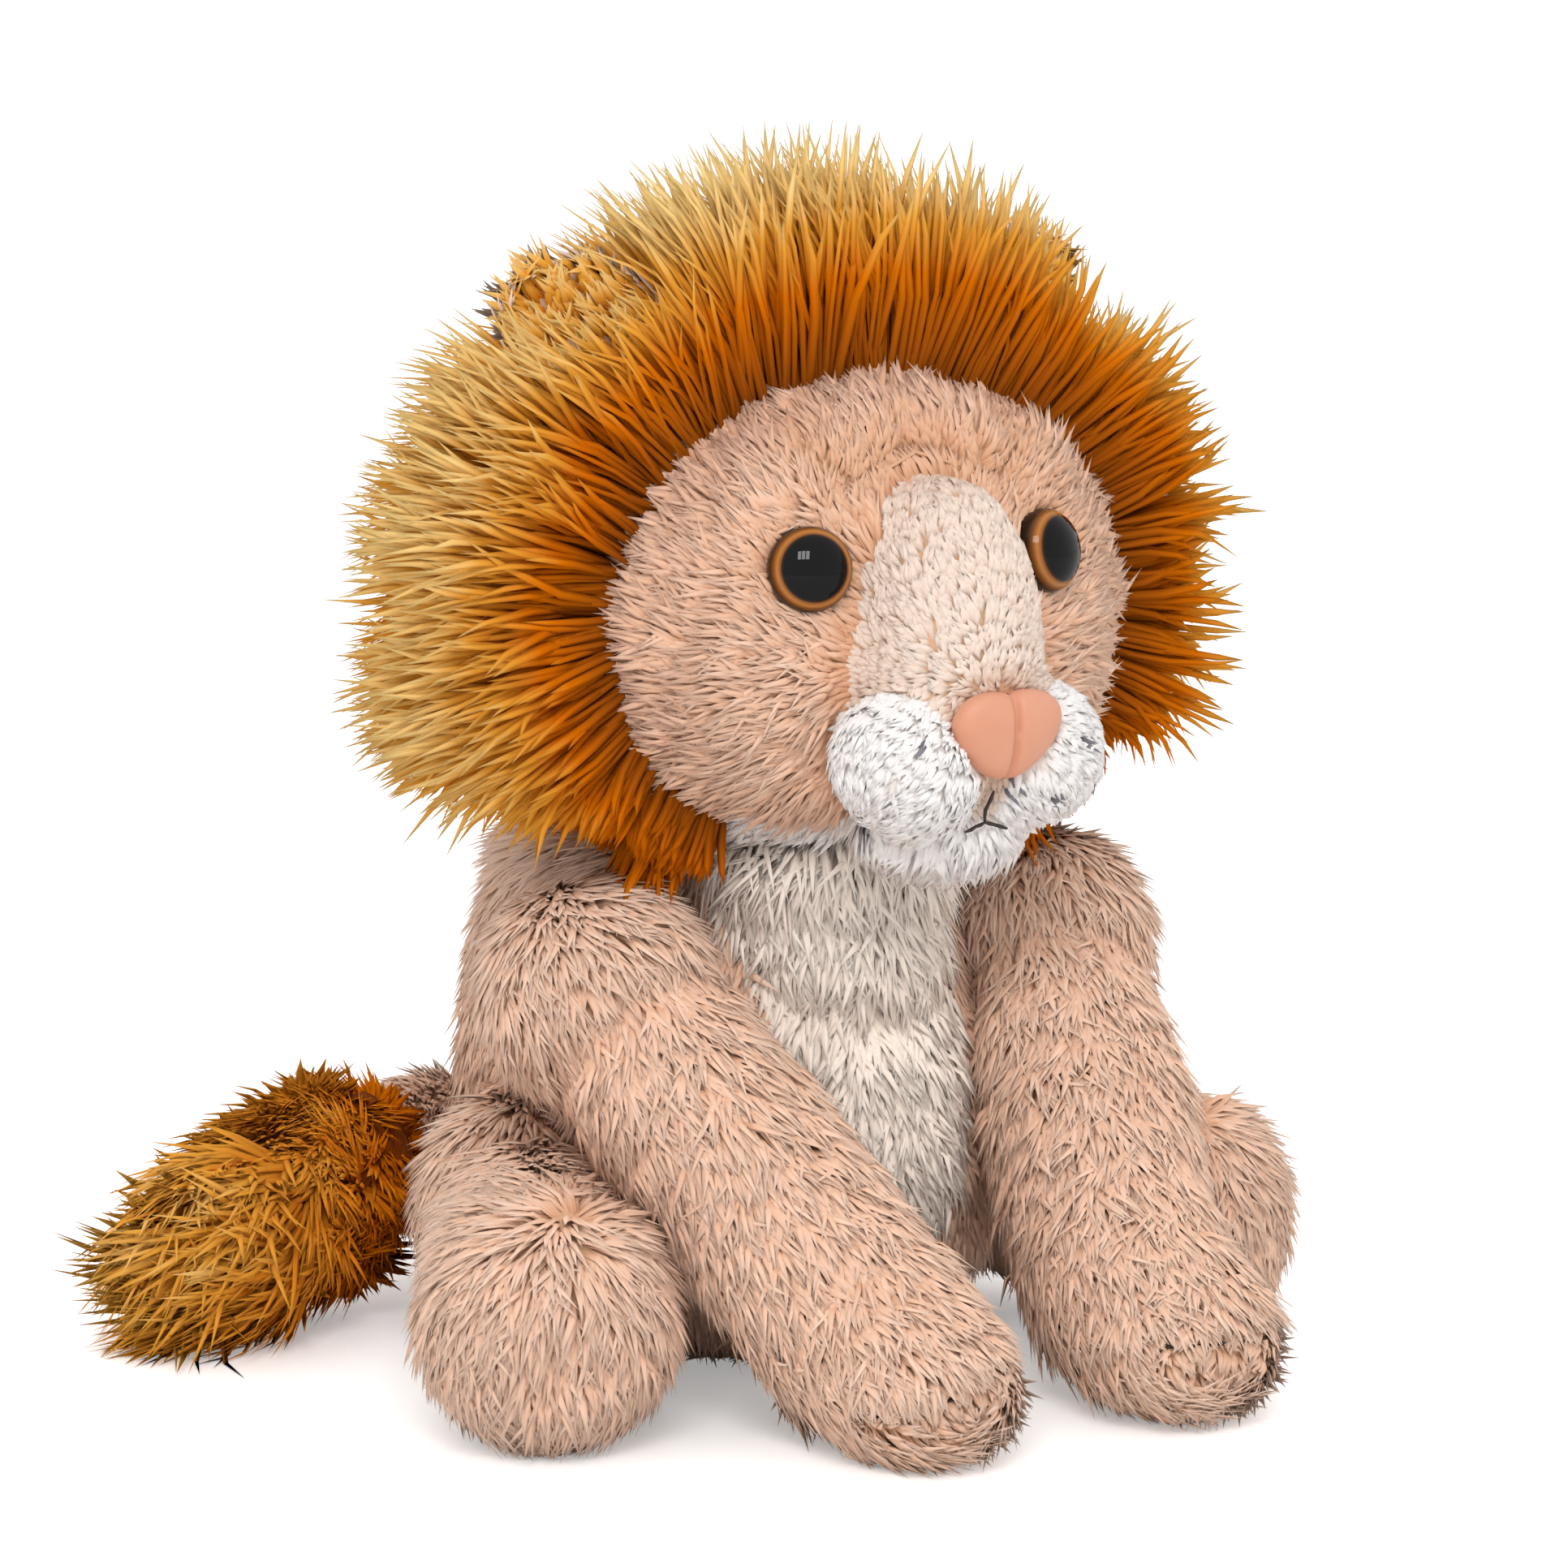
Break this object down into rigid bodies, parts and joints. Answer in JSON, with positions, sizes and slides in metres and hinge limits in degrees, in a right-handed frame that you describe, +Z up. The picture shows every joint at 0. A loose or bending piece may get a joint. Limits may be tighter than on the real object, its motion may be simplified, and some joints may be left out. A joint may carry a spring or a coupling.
{
  "type": "plush toy lion",
  "caption": "Small seated plush lion with a long-pile mane, domed eyes, a vinyl nose, stuffed legs and a tufted tail, all turning on their sewn roots.",
  "frame": {"origin": "on the flat seat, in the lion's middle plane, about 4 mm in front of the middle of the seat", "axes": "+Z up out of the seat, -Y to the lion's front, +X to its left side"},
  "size_m": [0.1582, 0.1575, 0.1746],
  "materials": {
    "plush_tan": "matte",
    "nap_pale": "matte",
    "plush_white": "matte",
    "bib_plush": "matte",
    "long_pile": "matte",
    "nose_vinyl": "satin",
    "eye_acrylic": "gloss",
    "washer_plastic": "satin",
    "fibre": "matte",
    "pellet_cloth": "matte"
  },
  "bodies": {
    "torso": {"body_skin": "plush_tan", "chest_bib": "bib_plush", "body_filling": "fibre", "pellet_bag": "pellet_cloth"},
    "neck": {"neck_filling": "fibre"},
    "head": {"head_skin": "plush_tan", "snout_bridge": "nap_pale", "chin_panel": "plush_white", "nose": "nose_vinyl", "nose_washer": "washer_plastic", "head_filling": "fibre", "mane": "long_pile", "muzzle_pad_right": "plush_white", "eye_right": "eye_acrylic", "eye_washer_right": "washer_plastic", "muzzle_pad_left": "plush_white", "eye_left": "eye_acrylic", "eye_washer_left": "washer_plastic"},
    "ear_right": {"ear_back_right": "plush_tan", "ear_lining_right": "long_pile"},
    "front_leg_right": {"front_leg_right_skin": "plush_tan", "front_leg_right_filling": "fibre"},
    "hind_leg_right": {"hind_leg_right_skin": "plush_tan", "hind_leg_right_filling": "fibre"},
    "ear_left": {"ear_back_left": "plush_tan", "ear_lining_left": "long_pile"},
    "front_leg_left": {"front_leg_left_skin": "plush_tan", "front_leg_left_filling": "fibre"},
    "hind_leg_left": {"hind_leg_left_skin": "plush_tan", "hind_leg_left_filling": "fibre"},
    "tail": {"tail_skin": "plush_tan", "tail_filling": "fibre"},
    "tail_tuft": {"tail_tuft": "long_pile"}
  },
  "joints": [
    {"name": "neck_nod", "type": "hinge", "parent": "torso", "child": "neck", "pos_m": [0, -0.02, 0.076], "axis": [1, 0, 0], "range_deg": [-8, 8], "stiffness_Nm_per_rad": 0.6},
    {"name": "head_turn", "type": "hinge", "parent": "neck", "child": "head", "pos_m": [0, -0.02, 0.076], "axis": [0, 0, 1], "range_deg": [-20, 20], "stiffness_Nm_per_rad": 0.3},
    {"name": "ear_fold_right", "type": "hinge", "parent": "head", "child": "ear_right", "pos_m": [-0.0274, -0.021, 0.1386], "axis": [0.6781, -0.274, 0.682], "range_deg": [-20, 20], "stiffness_Nm_per_rad": 0.01},
    {"name": "ear_fold_left", "type": "hinge", "parent": "head", "child": "ear_left", "pos_m": [0.0274, -0.021, 0.1386], "axis": [0.6781, 0.274, -0.682], "range_deg": [-20, 20], "stiffness_Nm_per_rad": 0.01},
    {"name": "front_leg_lift_right", "type": "hinge", "parent": "torso", "child": "front_leg_right", "pos_m": [-0.038, -0.022, 0.058], "axis": [-1, 0, 0], "range_deg": [0, 25], "stiffness_Nm_per_rad": 0.03},
    {"name": "front_leg_lift_left", "type": "hinge", "parent": "torso", "child": "front_leg_left", "pos_m": [0.038, -0.022, 0.058], "axis": [-1, 0, 0], "range_deg": [0, 25], "stiffness_Nm_per_rad": 0.03},
    {"name": "hind_leg_splay_right", "type": "hinge", "parent": "torso", "child": "hind_leg_right", "pos_m": [-0.034, 0.004, 0.022], "axis": [0, 0, -1], "range_deg": [0, 20], "stiffness_Nm_per_rad": 0.05},
    {"name": "hind_leg_splay_left", "type": "hinge", "parent": "torso", "child": "hind_leg_left", "pos_m": [0.034, 0.004, 0.022], "axis": [0, 0, 1], "range_deg": [0, 20], "stiffness_Nm_per_rad": 0.05},
    {"name": "tail_swing", "type": "hinge", "parent": "torso", "child": "tail", "pos_m": [0, 0.047, 0.014], "axis": [0, 0, -1], "range_deg": [-3, 35], "stiffness_Nm_per_rad": 0.01},
    {"name": "tuft_bend", "type": "hinge", "parent": "tail", "child": "tail_tuft", "pos_m": [-0.041, 0.043, 0.022], "axis": [0, 0, -1], "range_deg": [-20, 20], "stiffness_Nm_per_rad": 0.005}
  ]
}
